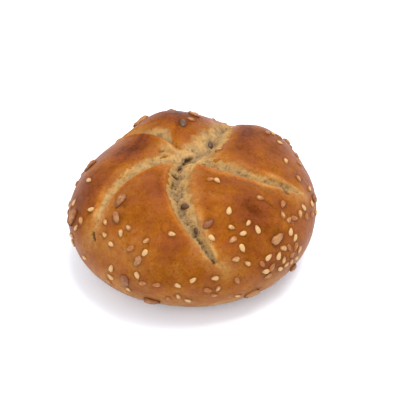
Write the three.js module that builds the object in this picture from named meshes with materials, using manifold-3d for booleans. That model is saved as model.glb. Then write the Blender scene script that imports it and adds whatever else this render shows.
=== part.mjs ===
// A seeded pinwheel bread roll, baked in one piece: a domed loaf with a flat base, parted on
// top by five curved cuts into five petals, with sesame seeds and sunflower kernels baked on.
// Millimetres, +Z up. The origin is the middle of the flat base, and the front faces -Y.
// Azimuth turns from +X towards +Y. Colatitude is 0 at the crown and 90 at the widest ring.
import * as THREE from "three";
import { mergeGeometries, mergeVertices } from "three/addons/utils/BufferGeometryUtils.js";
import Module from "manifold-3d";

const { degToRad, lerp } = THREE.MathUtils;

// The dough before it is cut: a dome pressed flat underneath where it lay on the tray.
const loaf = {
  radius: 47.1, // mean radius of the widest ring
  height: 47.6, // tray to crown
  widestHeight: 21.3,
  traySink: 6, // how much of the round underside the tray pressed flat
  crownPower: 1.85,
  undersidePower: 2.29,
  heartHeight: 16, // the point that every swelling and every cut faces
  ovalShare: 0.034, // how far the widest ring is from round, as a share of its radius
  ovalAzimuth: 44,
  threeSidedShare: 0.022,
  threeSidedAzimuth: -41,
};

// The cuts leave one hub near the crown and curve outwards. Each is a Bezier curve in plan.
// wallBefore and wallAfter are the widths of its two walls, at lower and higher azimuth.
// hubShare is the share of its depth that a cut has at the hub, where all five meet.
const hub = [-3.4, 0.5];
const cuts = {
  front: {
    pull: [-17.7, -16.7], push: [0.8, -42], end: [9.5, -43.2],
    depth: 7.5, hubShare: 0.85, wallBefore: 2.8, wallAfter: 8.5,
  },
  left: {
    pull: [-21.9, -5.5], push: [-30.4, -7.5], end: [-37.2, -28.3],
    depth: 7.5, hubShare: 0.85, wallBefore: 9, wallAfter: 3,
  },
  right: {
    pull: [4.9, -6.4], push: [25, -15], end: [40.5, -7.5],
    depth: 7, hubShare: 0.6, wallBefore: 3, wallAfter: 8,
  },
  backRight: {
    pull: [4.6, 5.5], push: [12.3, 17.6], end: [14.5, 46],
    depth: 8.8, hubShare: 0.6, wallBefore: 8, wallAfter: 16,
  },
  backLeft: {
    pull: [-5, 11.5], push: [-16, 17], end: [-33, 22],
    depth: 6, hubShare: 0.3, wallBefore: 9, wallAfter: 3,
  },
};
const cutShape = {
  steps: 48,
  taper: 0.9, // how much narrower a cut is at its end
  taperPower: 2.2, // over 1 keeps it wide until near the end
  fadePower: 4, // the same for its depth
  wallPower: 1.25, // over 1 rounds the lip and keeps the bottom sharp
  shoulder: 1.9, // reach of the soft rounding on both sides, in wall widths
  shoulderShare: 0.4,
  hubReach: 0.25,
  merge: 3, // power that blends cuts where they meet
};

// What the dough swelled by between the cuts as it baked, and one gap where it sagged.
const petals = {
  frontLeft: { azimuth: 248, colatitude: 46, lift: 3.6, spread: 15 },
  frontRight: { azimuth: 312, colatitude: 40, lift: 1.9, spread: 15 },
  right: { azimuth: 44, colatitude: 44, lift: 2.3, spread: 14 },
  back: { azimuth: 113, colatitude: 38, lift: 5.6, spread: 14 },
  left: { azimuth: 178, colatitude: 44, lift: 1.2, spread: 14 },
  backGap: { azimuth: 66, colatitude: 59, lift: -4.2, spread: 10 },
};

// rise is how far a seed's middle lies above the crust, and gap the room it keeps to the next.
const seedKinds = {
  sesame: { length: 3.2, width: 1.9, thickness: 1.2, rise: 0.06, around: 5, along: 3, gap: 3 },
  sunflower: { length: 7.6, width: 3.6, thickness: 2.2, rise: 0.33, around: 7, along: 4, gap: 5.5 },
  linseed: { length: 3, width: 1.8, thickness: 1, rise: 0.05, around: 5, along: 3, gap: 3 },
};

// Sesame lies thickest low on the sides. Each zone is a patch of crust, in degrees.
const sesameZones = [
  { azimuth: [228, 292], colatitude: [52, 108], count: 26 },
  { azimuth: [302, 326], colatitude: [74, 94], count: 18 },
  { azimuth: [290, 338], colatitude: [50, 76], count: 13 },
  { azimuth: [338, 368], colatitude: [58, 92], count: 8 },
  { azimuth: [8, 38], colatitude: [46, 70], count: 8 },
  { azimuth: [20, 110], colatitude: [66, 100], count: 14 },
  { azimuth: [110, 176], colatitude: [60, 100], count: 14 },
  { azimuth: [176, 226], colatitude: [56, 98], count: 16 },
];

// The seeds that lie alone: where each lies, how its length is turned, and its share of full size.
const singleSeeds = {
  sunflower: [
    { azimuth: 218, colatitude: 44, spin: 15, size: 0.8 },
    { azimuth: 224, colatitude: 52, spin: 55, size: 0.8 },
    { azimuth: 244, colatitude: 71, spin: -20, size: 0.6 },
    { azimuth: 239, colatitude: 92, spin: 10, size: 0.75 },
    { azimuth: 279, colatitude: 46, spin: 122, size: 0.7 },
    { azimuth: 314, colatitude: 67, spin: 100, size: 0.9 },
    { azimuth: 324, colatitude: 106, spin: 20, size: 0.8 },
    { azimuth: 250, colatitude: 109, spin: 85, size: 0.8 },
    { azimuth: 298, colatitude: 108, spin: -75, size: 0.9 },
    { azimuth: 357, colatitude: 77, spin: 80, size: 0.75 },
    { azimuth: 103, colatitude: 54, spin: -50, size: 0.8 },
    { azimuth: 91, colatitude: 39, spin: 60, size: 0.7 },
    { azimuth: 198, colatitude: 76, spin: 15, size: 1 },
    { azimuth: 40, colatitude: 74, spin: 50, size: 0.9 },
    { azimuth: 75, colatitude: 88, spin: -20, size: 1 },
    { azimuth: 124, colatitude: 55, spin: 75, size: 0.95 },
    { azimuth: 150, colatitude: 86, spin: -70, size: 0.9 },
    { azimuth: 168, colatitude: 62, spin: 35, size: 0.85 },
  ],
  linseed: [
    { azimuth: 66, colatitude: 24, spin: 24, size: 1.1 },
    { azimuth: 211, colatitude: 11, spin: 20, size: 0.9 },
    { azimuth: 262, colatitude: 36, spin: 80, size: 1.2 },
    { azimuth: 271, colatitude: 50, spin: 5, size: 0.8 },
    { azimuth: 103, colatitude: 27, spin: -13, size: 1.4 },
  ],
  sesame: [
    { azimuth: 31, colatitude: 16, spin: -30, size: 1 },
    { azimuth: 331, colatitude: 14, spin: 30, size: 1 },
    { azimuth: 292, colatitude: 22, spin: 70, size: 1 },
    { azimuth: 298, colatitude: 24, spin: 10, size: 1 },
    { azimuth: 94, colatitude: 31, spin: 90, size: 1 },
    { azimuth: 294, colatitude: 41, spin: 150, size: 1 },
    { azimuth: 319, colatitude: 42, spin: 45, size: 1 },
    { azimuth: 258, colatitude: 51, spin: 90, size: 1 },
  ],
};

const bodyDetail = 14; // the crust is a sphere of 20 (bodyDetail + 1)^2 triangles, reshaped
const crownCrowding = 1.12; // over 1 gathers triangles on the crown, where the cuts are
const snapReach = 1.4; // points this near a cut's line lie on it, so that its bottom is one crisp line
const seedPointing = 0.3; // how much thinner a seed is at its pointed end
const bareShare = 0.8; // the share of a cut's walls that is bare crumb, where no sesame holds
const bareMargin = 1; // how far sesame stays away from it
const triesPerSeed = 60;
const drawSeed = 4711;

function ringRadius(azimuth) {
  const oval = Math.cos(2 * (azimuth - degToRad(loaf.ovalAzimuth)));
  const threeSided = Math.cos(3 * (azimuth - degToRad(loaf.threeSidedAzimuth)));
  return loaf.radius * (1 + loaf.ovalShare * oval + loaf.threeSidedShare * threeSided);
}

// A point of the dough's skin before cutting. Angles are in radians.
function uncutPoint(colatitude, azimuth) {
  const isCrown = colatitude < Math.PI / 2;
  const power = 2 / (isCrown ? loaf.crownPower : loaf.undersidePower);
  const reach = ringRadius(azimuth) * Math.sin(colatitude) ** power;
  const span = isCrown ? loaf.height - loaf.widestHeight : -(loaf.widestHeight + loaf.traySink);
  const z = loaf.widestHeight + span * Math.abs(Math.cos(colatitude)) ** power;
  return new THREE.Vector3(reach * Math.cos(azimuth), reach * Math.sin(azimuth), Math.max(0, z));
}

// The point of the uncut crown over a point of the plan.
function crownPoint(x, y) {
  const azimuth = Math.atan2(y, x);
  const share = Math.min(1, Math.hypot(x, y) / ringRadius(azimuth));
  return uncutPoint(Math.asin(share ** (loaf.crownPower / 2)), azimuth);
}

const heart = new THREE.Vector3(0, 0, loaf.heartHeight);

function outwardFrom(point) {
  return point.clone().sub(heart).normalize();
}

for (const cut of Object.values(cuts)) {
  const plan = [hub, cut.pull, cut.push, cut.end].map(([x, y]) => new THREE.Vector2(x, y));
  const line = new THREE.CubicBezierCurve(...plan).getSpacedPoints(cutShape.steps);
  cut.path = line.map((p) => crownPoint(p.x, p.y));
}

// The way from the nearest point of a cut's line to a point, and how far along the cut that is.
function fromCut(cut, point) {
  const leg = new THREE.Line3();
  const foot = new THREE.Vector3();
  const found = { distance: Infinity };
  for (let i = 0; i < cutShape.steps; i++) {
    leg.set(cut.path[i], cut.path[i + 1]);
    const along = leg.closestPointToPointParameter(point, true);
    leg.at(along, foot);
    const distance = foot.distanceTo(point);
    if (distance < found.distance) {
      found.distance = distance;
      found.share = (i + along) / cutShape.steps;
      found.foot = foot.clone();
      found.offset = point.clone().sub(foot);
      found.heading = leg.delta(new THREE.Vector3()).normalize();
    }
  }
  // 1 straight across on the side of higher azimuth, -1 on the other, 0 past the cut's ends
  const across = found.heading.cross(found.offset).dot(outwardFrom(point));
  found.side = found.distance > 1e-6 ? across / found.distance : 0;
  return found;
}

function wallWidth(cut, found) {
  const full = lerp(cut.wallBefore, cut.wallAfter, (1 + found.side) / 2);
  return full * (1 - cutShape.taper * found.share ** cutShape.taperPower);
}

function sinkOf(cut, point) {
  const found = fromCut(cut, point);
  const way = found.distance / wallWidth(cut, found);
  const wall = Math.max(0, 1 - way) ** cutShape.wallPower;
  const shoulder = Math.exp(-((way / cutShape.shoulder) ** 2));
  const atHub = lerp(cut.hubShare, 1, Math.min(1, found.share / cutShape.hubReach));
  const depth = cut.depth * atHub * (1 - found.share ** cutShape.fadePower);
  return depth * lerp(wall, shoulder, cutShape.shoulderShare);
}

const petalTops = Object.values(petals).map(({ azimuth, colatitude, lift, spread }) => ({
  top: uncutPoint(degToRad(colatitude), degToRad(azimuth)),
  lift,
  spread,
}));

// The baked crust over a point of the skin: swollen at the petals and sunk at the cuts.
function bakedPoint(skin) {
  let swell = 0;
  for (const { top, lift, spread } of petalTops) {
    swell += lift * Math.exp(-((skin.distanceTo(top) / spread) ** 2));
  }
  let merged = 0;
  for (const cut of Object.values(cuts)) merged += sinkOf(cut, skin) ** cutShape.merge;
  const point = skin.clone().addScaledVector(outwardFrom(skin), swell - merged ** (1 / cutShape.merge));
  point.z = Math.max(0, point.z);
  return point;
}

function crustPoint(colatitude, azimuth) {
  return bakedPoint(uncutPoint(colatitude, azimuth));
}

// The nearest point of a cut's line when that is within reach, or else the point itself.
// The line's own ends take no points, which would crowd there.
function snapToCut(point) {
  const nearest = Object.values(cuts)
    .map((cut) => fromCut(cut, point))
    .reduce((best, found) => (found.distance < best.distance ? found : best));
  const isOnLine = nearest.share > 0 && nearest.share < 1;
  return isOnLine && nearest.distance < snapReach ? nearest.foot : point;
}

function closedGeometry(geometry) {
  geometry.deleteAttribute("normal");
  geometry.deleteAttribute("uv");
  return mergeVertices(geometry, 1e-4);
}

// The crust as a fine ball whose points are moved to the crust.
function makeCrust() {
  const geometry = closedGeometry(new THREE.IcosahedronGeometry(1, bodyDetail));
  const place = geometry.getAttribute("position");
  for (let i = 0; i < place.count; i++) {
    const direction = new THREE.Vector3().fromBufferAttribute(place, i).normalize();
    const share = Math.acos(THREE.MathUtils.clamp(direction.z, -1, 1)) / Math.PI;
    const azimuth = Math.atan2(direction.y, direction.x);
    const point = bakedPoint(snapToCut(uncutPoint(Math.PI * share ** crownCrowding, azimuth)));
    place.setXYZ(i, point.x, point.y, point.z);
  }
  return geometry;
}

// A flat drop, pointed at one end, with its length along Y and its outer face towards +Z.
function makeSeedShape(kind) {
  const geometry = closedGeometry(new THREE.SphereGeometry(1, kind.around, kind.along));
  const place = geometry.getAttribute("position");
  for (let i = 0; i < place.count; i++) {
    const y = place.getY(i);
    const girth = 1 - seedPointing * y;
    const x = (place.getX(i) * girth * kind.width) / 2;
    const z = (place.getZ(i) * girth * kind.thickness) / 2 + kind.rise;
    place.setXYZ(i, x, (y * kind.length) / 2, z);
  }
  return geometry;
}

// Where the crust lies and which way it faces, with a seed's length turned by spin.
function crustFrame(colatitude, azimuth, spin) {
  const step = 0.02;
  const origin = crustPoint(colatitude, azimuth);
  const down = crustPoint(colatitude + step, azimuth).sub(crustPoint(colatitude - step, azimuth));
  const round = crustPoint(colatitude, azimuth + step).sub(crustPoint(colatitude, azimuth - step));
  const normal = down.clone().cross(round).normalize();
  const length = down.normalize().applyAxisAngle(normal, spin);
  const width = length.clone().cross(normal);
  return new THREE.Matrix4().makeBasis(width, length, normal).setPosition(origin);
}

let drawState = drawSeed;
function draw(low, high) {
  drawState = (Math.imul(drawState, 1664525) + 1013904223) >>> 0;
  return lerp(low, high, drawState / 2 ** 32);
}

// True where a seed would lie in the bare crumb of a cut.
function isInCut(point) {
  return Object.values(cuts).some((cut) => {
    const found = fromCut(cut, point);
    return found.distance < wallWidth(cut, found) * bareShare + bareMargin;
  });
}

function scatterSeeds() {
  const placed = [];
  const hasRoom = (origin, gap) =>
    placed.every((other) => other.origin.distanceTo(origin) > (gap + other.gap) / 2);
  for (const [kind, places] of Object.entries(singleSeeds)) {
    for (const { azimuth, colatitude, spin, size } of places) {
      const frame = crustFrame(degToRad(colatitude), degToRad(azimuth), degToRad(spin));
      const origin = new THREE.Vector3().setFromMatrixPosition(frame);
      frame.scale(new THREE.Vector3(size, size, size));
      placed.push({ kind, frame, origin, gap: seedKinds[kind].gap * size });
    }
  }
  for (const zone of sesameZones) {
    let left = zone.count;
    for (let tries = 0; left > 0 && tries < triesPerSeed * zone.count; tries++) {
      const azimuth = degToRad(draw(...zone.azimuth));
      const colatitude = degToRad(draw(...zone.colatitude));
      const spin = draw(0, 2 * Math.PI);
      const frame = crustFrame(colatitude, azimuth, spin);
      const origin = new THREE.Vector3().setFromMatrixPosition(frame);
      if (!hasRoom(origin, seedKinds.sesame.gap) || isInCut(uncutPoint(colatitude, azimuth))) continue;
      placed.push({ kind: "sesame", frame, origin, gap: seedKinds.sesame.gap });
      left--;
    }
  }
  return placed;
}

const wasm = await Module();
wasm.setup();

function solidOf(geometry) {
  return new wasm.Manifold(
    new wasm.Mesh({
      numProp: 3,
      vertProperties: geometry.getAttribute("position").array,
      triVerts: new Uint32Array(geometry.index.array),
    }),
  );
}

function geometryOf(solid) {
  const mesh = solid.getMesh();
  const geometry = new THREE.BufferGeometry();
  geometry.setAttribute("position", new THREE.BufferAttribute(mesh.vertProperties, 3));
  geometry.setIndex(new THREE.BufferAttribute(mesh.triVerts, 1));
  geometry.computeVertexNormals();
  return geometry;
}

const shapes = {};
for (const [name, kind] of Object.entries(seedKinds)) shapes[name] = makeSeedShape(kind);
const seeds = scatterSeeds().map(({ kind, frame }) => shapes[kind].clone().applyMatrix4(frame));
const seededRoll = solidOf(makeCrust()).add(solidOf(mergeGeometries(seeds)));

const crust = new THREE.MeshStandardMaterial({ color: 0xb5713a, roughness: 0.55, metalness: 0 });
const roll = new THREE.Mesh(geometryOf(seededRoll), crust);
roll.name = "bread_roll";

const breadRoll = new THREE.Group();
breadRoll.add(roll);
export default breadRoll;
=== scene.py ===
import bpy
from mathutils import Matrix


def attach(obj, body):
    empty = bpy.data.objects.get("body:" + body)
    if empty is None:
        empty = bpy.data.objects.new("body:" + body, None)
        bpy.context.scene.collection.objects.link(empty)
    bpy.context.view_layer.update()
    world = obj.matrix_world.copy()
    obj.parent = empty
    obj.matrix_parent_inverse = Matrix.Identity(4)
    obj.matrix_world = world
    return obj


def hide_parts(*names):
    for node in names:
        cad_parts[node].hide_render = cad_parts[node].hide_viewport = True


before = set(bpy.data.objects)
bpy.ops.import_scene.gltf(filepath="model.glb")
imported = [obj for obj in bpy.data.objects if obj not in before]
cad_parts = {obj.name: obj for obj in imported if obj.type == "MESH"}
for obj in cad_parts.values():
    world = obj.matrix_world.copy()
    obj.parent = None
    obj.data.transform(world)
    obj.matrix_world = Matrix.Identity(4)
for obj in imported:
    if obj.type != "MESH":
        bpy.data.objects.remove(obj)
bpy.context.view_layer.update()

import math

import bpy
import numpy as np
from mathutils import Vector

# A seeded pinwheel bread roll, rebuilt finely round its CAD solid, on a pale table.
# Sizes are millimetres in the dictionaries, where no other unit is noted, and metres in Blender.
# +Z is up, the front faces -Y.
# Azimuth turns from +X towards +Y. Colatitude is 0 at the crown and 90 at the widest ring.

metre = 0.001  # one millimetre in Blender's metres
millimetres = 1000.0  # in one metre

# The dough before it is cut, with the same named sizes as the solid.
loaf = {
    "radius": 47.1,
    "height": 47.6,
    "widestHeight": 21.3,
    "traySink": 6,
    "crownPower": 1.85,
    "undersidePower": 2.29,
    "heartHeight": 16,
    "ovalShare": 0.034,
    "ovalAzimuth": 44,
    "threeSidedShare": 0.022,
    "threeSidedAzimuth": -41,
}

hub = (-3.4, 0.5)
cuts = {
    "front": {
        "pull": (-17.7, -16.7), "push": (0.8, -42), "end": (9.5, -43.2), "depth": 7.5, "hubShare": 0.85,
        "wallBefore": 2.8, "wallAfter": 8.5, "toast": (0.05, -0.1), "soft": (0.15, 0.35), "bare": (0, 0.9),
    },
    "left": {
        "pull": (-21.9, -5.5), "push": (-30.4, -7.5), "end": (-37.2, -28.3), "depth": 7.5, "hubShare": 0.85,
        "wallBefore": 9, "wallAfter": 3, "toast": (0.14, 0.05), "soft": (0.3, 0.15), "bare": (0, 0.85),
    },
    "right": {
        "pull": (4.9, -6.4), "push": (25, -15), "end": (40.5, -7.5), "depth": 7, "hubShare": 0.6,
        "wallBefore": 3, "wallAfter": 8, "toast": (-0.3, 0.12), "soft": (0.6, 0.35), "bare": (0.2, 0.95),
    },
    "backRight": {
        "pull": (4.6, 5.5), "push": (12.3, 17.6), "end": (14.5, 46), "depth": 8.8, "hubShare": 0.6,
        "wallBefore": 8, "wallAfter": 16, "toast": (0.1, 0.34), "soft": (0.25, 0.5), "bare": (0, 0.9),
    },
    "backLeft": {
        "pull": (-5, 11.5), "push": (-16, 17), "end": (-33, 22), "depth": 6, "hubShare": 0.3,
        "wallBefore": 9, "wallAfter": 3, "toast": (0.3, 0.15), "soft": (0.7, 0.3), "bare": (0.42, 0.82),
    },
}
cutShape = {
    "fineSteps": 200,  # along the curve, before it is stepped evenly
    "steps": 48,
    "taper": 0.9,
    "taperPower": 2.2,
    "fadePower": 4,
    "wallPower": 1.25,
    "shoulder": 1.9,
    "shoulderShare": 0.4,
    "hubReach": 0.25,
    "merge": 3,
    "onLine": 1e-6,  # mm, nearer than this a point has no side
}
petals = {
    "frontLeft": {"azimuth": 248, "colatitude": 46, "lift": 3.6, "spread": 15},
    "frontRight": {"azimuth": 312, "colatitude": 40, "lift": 1.9, "spread": 15},
    "right": {"azimuth": 44, "colatitude": 44, "lift": 2.3, "spread": 14},
    "back": {"azimuth": 113, "colatitude": 38, "lift": 5.6, "spread": 14},
    "left": {"azimuth": 178, "colatitude": 44, "lift": 1.2, "spread": 14},
    "backGap": {"azimuth": 66, "colatitude": 59, "lift": -4.2, "spread": 10},
}
heart = np.array([0, 0, loaf["heartHeight"]])


def ringRadius(azimuth):
    oval = np.cos(2 * (azimuth - math.radians(loaf["ovalAzimuth"])))
    threeSided = np.cos(3 * (azimuth - math.radians(loaf["threeSidedAzimuth"])))
    return loaf["radius"] * (1 + loaf["ovalShare"] * oval + loaf["threeSidedShare"] * threeSided)


def uncutPoint(colatitude, azimuth):
    isCrown = colatitude < math.pi / 2
    power = np.where(isCrown, 2 / loaf["crownPower"], 2 / loaf["undersidePower"])
    reach = ringRadius(azimuth) * np.abs(np.sin(colatitude)) ** power
    crownSpan = loaf["height"] - loaf["widestHeight"]
    span = np.where(isCrown, crownSpan, -(loaf["widestHeight"] + loaf["traySink"]))
    z = loaf["widestHeight"] + span * np.abs(np.cos(colatitude)) ** power
    return np.stack([reach * np.cos(azimuth), reach * np.sin(azimuth), np.maximum(0, z)], axis=-1)


def crownPoint(x, y):
    azimuth = np.arctan2(y, x)
    share = np.minimum(1, np.hypot(x, y) / ringRadius(azimuth))
    return uncutPoint(np.arcsin(share ** (loaf["crownPower"] / 2)), azimuth)


def outwardFrom(points):
    away = points - heart
    return away / np.linalg.norm(away, axis=-1, keepdims=True)


def cutPath(cut):
    samples = np.linspace(0, 1, cutShape["fineSteps"] + 1)[:, None]
    corners = [np.array(corner, float) for corner in (hub, cut["pull"], cut["push"], cut["end"])]

    def bezier(t):
        weights = [(1 - t) ** 3, 3 * t * (1 - t) ** 2, 3 * t ** 2 * (1 - t), t ** 3]
        return sum(weight * corner for weight, corner in zip(weights, corners))

    gone = np.concatenate([[0], np.cumsum(np.linalg.norm(np.diff(bezier(samples), axis=0), axis=1))])
    even = np.interp(np.linspace(0, gone[-1], cutShape["steps"] + 1), gone, samples[:, 0])
    plan = bezier(even[:, None])
    return crownPoint(plan[:, 0], plan[:, 1])


for cut in cuts.values():
    cut["path"] = cutPath(cut)
    cut["length"] = float(np.linalg.norm(np.diff(cut["path"], axis=0), axis=1).sum())


def fromCut(cut, points):
    distance = np.full(len(points), np.inf)
    share = np.zeros(len(points))
    offset = np.zeros_like(points)
    heading = np.zeros_like(points)
    for i in range(cutShape["steps"]):
        start = cut["path"][i]
        leg = cut["path"][i + 1] - start
        along = np.clip((points - start) @ leg / (leg @ leg), 0, 1)
        gap = points - (start + along[:, None] * leg)
        reach = np.linalg.norm(gap, axis=1)
        nearer = reach < distance
        distance[nearer] = reach[nearer]
        share[nearer] = (i + along[nearer]) / cutShape["steps"]
        offset[nearer] = gap[nearer]
        heading[nearer] = leg / np.linalg.norm(leg)
    across = np.einsum("ij,ij->i", np.cross(heading, offset), outwardFrom(points))
    onLine = cutShape["onLine"]
    side = np.where(distance > onLine, across / np.maximum(distance, onLine), 0)
    return {"distance": distance, "share": share, "side": side}


def wallWidth(cut, found):
    full = cut["wallBefore"] + (cut["wallAfter"] - cut["wallBefore"]) * (1 + found["side"]) / 2
    return full * (1 - cutShape["taper"] * found["share"] ** cutShape["taperPower"])


def sinkOf(cut, found):
    way = found["distance"] / wallWidth(cut, found)
    wall = np.maximum(0, 1 - way) ** cutShape["wallPower"]
    shoulder = np.exp(-((way / cutShape["shoulder"]) ** 2))
    atHub = cut["hubShare"] + (1 - cut["hubShare"]) * np.minimum(1, found["share"] / cutShape["hubReach"])
    depth = cut["depth"] * atHub * (1 - found["share"] ** cutShape["fadePower"])
    return depth * (wall + (shoulder - wall) * cutShape["shoulderShare"])


def crustPoint(colatitude, azimuth):
    skin = uncutPoint(colatitude, azimuth)
    swell = 0
    for petal in petals.values():
        top = uncutPoint(math.radians(petal["colatitude"]), math.radians(petal["azimuth"]))
        reach = np.linalg.norm(skin - top, axis=-1)
        swell = swell + petal["lift"] * np.exp(-((reach / petal["spread"]) ** 2))
    found = {name: fromCut(cut, skin) for name, cut in cuts.items()}
    merged = sum(sinkOf(cuts[name], found[name]) ** cutShape["merge"] for name in cuts)
    out = (swell - merged ** (1 / cutShape["merge"]))[:, None]
    points = skin + outwardFrom(skin) * out
    points[:, 2] = np.maximum(0, points[:, 2])
    return points, found


# The seeds, placed by the same draws as in the solid.
seedKinds = {
    "sesame": {"length": 3.2, "width": 1.9, "thickness": 1.2, "rise": 0.06, "gap": 3},
    "sunflower": {"length": 7.6, "width": 3.6, "thickness": 2.2, "rise": 0.33, "gap": 5.5},
    "linseed": {"length": 3, "width": 1.8, "thickness": 1, "rise": 0.05, "gap": 3},
}
# Sesame lies thickest low on the sides. Each zone is a patch of crust, in degrees.
sesameZones = [
    {"azimuth": (228, 292), "colatitude": (52, 108), "count": 26},
    {"azimuth": (302, 326), "colatitude": (74, 94), "count": 18},
    {"azimuth": (290, 338), "colatitude": (50, 76), "count": 13},
    {"azimuth": (338, 368), "colatitude": (58, 92), "count": 8},
    {"azimuth": (8, 38), "colatitude": (46, 70), "count": 8},
    {"azimuth": (20, 110), "colatitude": (66, 100), "count": 14},
    {"azimuth": (110, 176), "colatitude": (60, 100), "count": 14},
    {"azimuth": (176, 226), "colatitude": (56, 98), "count": 16},
]
# The seeds that lie alone: where each lies, how its length is turned, and its share of full size.
singleSeeds = {
    "sunflower": [
        {"azimuth": 218, "colatitude": 44, "spin": 15, "size": 0.8},
        {"azimuth": 224, "colatitude": 52, "spin": 55, "size": 0.8},
        {"azimuth": 244, "colatitude": 71, "spin": -20, "size": 0.6},
        {"azimuth": 239, "colatitude": 92, "spin": 10, "size": 0.75},
        {"azimuth": 279, "colatitude": 46, "spin": 122, "size": 0.7},
        {"azimuth": 314, "colatitude": 67, "spin": 100, "size": 0.9},
        {"azimuth": 324, "colatitude": 106, "spin": 20, "size": 0.8},
        {"azimuth": 250, "colatitude": 109, "spin": 85, "size": 0.8},
        {"azimuth": 298, "colatitude": 108, "spin": -75, "size": 0.9},
        {"azimuth": 357, "colatitude": 77, "spin": 80, "size": 0.75},
        {"azimuth": 103, "colatitude": 54, "spin": -50, "size": 0.8},
        {"azimuth": 91, "colatitude": 39, "spin": 60, "size": 0.7},
        {"azimuth": 198, "colatitude": 76, "spin": 15, "size": 1},
        {"azimuth": 40, "colatitude": 74, "spin": 50, "size": 0.9},
        {"azimuth": 75, "colatitude": 88, "spin": -20, "size": 1},
        {"azimuth": 124, "colatitude": 55, "spin": 75, "size": 0.95},
        {"azimuth": 150, "colatitude": 86, "spin": -70, "size": 0.9},
        {"azimuth": 168, "colatitude": 62, "spin": 35, "size": 0.85},
    ],
    "linseed": [
        {"azimuth": 66, "colatitude": 24, "spin": 24, "size": 1.1},
        {"azimuth": 211, "colatitude": 11, "spin": 20, "size": 0.9},
        {"azimuth": 262, "colatitude": 36, "spin": 80, "size": 1.2},
        {"azimuth": 271, "colatitude": 50, "spin": 5, "size": 0.8},
        {"azimuth": 103, "colatitude": 27, "spin": -13, "size": 1.4},
    ],
    "sesame": [
        {"azimuth": 31, "colatitude": 16, "spin": -30, "size": 1},
        {"azimuth": 331, "colatitude": 14, "spin": 30, "size": 1},
        {"azimuth": 292, "colatitude": 22, "spin": 70, "size": 1},
        {"azimuth": 298, "colatitude": 24, "spin": 10, "size": 1},
        {"azimuth": 94, "colatitude": 31, "spin": 90, "size": 1},
        {"azimuth": 294, "colatitude": 41, "spin": 150, "size": 1},
        {"azimuth": 319, "colatitude": 42, "spin": 45, "size": 1},
        {"azimuth": 258, "colatitude": 51, "spin": 90, "size": 1},
    ],
}
scatter = {
    "drawSeed": 4711,
    "drawFactor": 1664525,
    "drawStep": 1013904223,
    "drawRange": 2 ** 32,
    "triesPerSeed": 60,
    "bareShare": 0.8,  # of a cut's wall, kept free of drawn seeds
    "bareMargin": 1,  # mm beside it
    "slopeStep": 0.02,  # radians between the points that give the crust's slope
}
drawState = scatter["drawSeed"]


def draw(low, high):
    global drawState
    drawState = (drawState * scatter["drawFactor"] + scatter["drawStep"]) % scatter["drawRange"]
    share = drawState / scatter["drawRange"]
    return (1 - share) * low + share * high


def crustFrame(colatitude, azimuth, spin):
    step = scatter["slopeStep"]
    around = np.array([[0, 0], [step, 0], [-step, 0], [0, step], [0, -step]])
    points, _ = crustPoint(colatitude + around[:, 0], azimuth + around[:, 1])
    down = points[1] - points[2]
    side = points[3] - points[4]
    up = np.cross(down, side)
    up /= np.linalg.norm(up)
    down /= np.linalg.norm(down)
    along = down * math.cos(spin) + np.cross(up, down) * math.sin(spin)
    return {"origin": points[0], "up": up, "along": along}


def isInCut(point):
    for cut in cuts.values():
        found = fromCut(cut, point)
        bareWidth = wallWidth(cut, found)[0] * scatter["bareShare"] + scatter["bareMargin"]
        if found["distance"][0] < bareWidth:
            return True
    return False


def scatterSeeds():
    placed = []
    for kind, places in singleSeeds.items():
        for place in places:
            colatitude, azimuth, spin = (
                math.radians(place[key]) for key in ("colatitude", "azimuth", "spin")
            )
            seedFrame = crustFrame(np.array([colatitude]), np.array([azimuth]), spin)
            gap = seedKinds[kind]["gap"] * place["size"]
            placed.append({"kind": kind, "gap": gap, "size": place["size"], **seedFrame})
    for zone in sesameZones:
        left = zone["count"]
        tries = 0
        while left > 0 and tries < scatter["triesPerSeed"] * zone["count"]:
            tries += 1
            azimuth = math.radians(draw(*zone["azimuth"]))
            colatitude = math.radians(draw(*zone["colatitude"]))
            spin = draw(0, 2 * math.pi)
            seedFrame = crustFrame(np.array([colatitude]), np.array([azimuth]), spin)
            gap = seedKinds["sesame"]["gap"]
            crowded = any(
                np.linalg.norm(other["origin"] - seedFrame["origin"]) <= (gap + other["gap"]) / 2
                for other in placed
            )
            skin = uncutPoint(np.array([colatitude]), np.array([azimuth]))
            if crowded or isInCut(skin):
                continue
            placed.append({"kind": "sesame", "gap": gap, "size": 1, **seedFrame})
            left -= 1
    return placed


seeds = scatterSeeds()
print("seeds placed:", len(seeds))


def addNode(tree, kind, settings=None, inputs=None):
    node = tree.nodes.new(kind)
    for name, value in (settings or {}).items():
        setattr(node, name, value)
    for key, value in (inputs or {}).items():
        if isinstance(value, bpy.types.Node):
            value = next(socket for socket in value.outputs if socket.enabled)
        if isinstance(value, bpy.types.NodeSocket):
            tree.links.new(value, node.inputs[key])
        else:
            node.inputs[key].default_value = value
    return node


def startTree(name, values):
    tree = bpy.data.node_groups.new(name, "GeometryNodeTree")
    kinds = {float: "NodeSocketFloat", int: "NodeSocketInt", bpy.types.Material: "NodeSocketMaterial"}
    tree.interface.new_socket("Geometry", in_out="INPUT", socket_type="NodeSocketGeometry")
    for label, value in values.items():
        tree.interface.new_socket(label, in_out="INPUT", socket_type=kinds[type(value)])
    tree.interface.new_socket("Geometry", in_out="OUTPUT", socket_type="NodeSocketGeometry")
    return tree, tree.nodes.new("NodeGroupInput"), tree.nodes.new("NodeGroupOutput")


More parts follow.
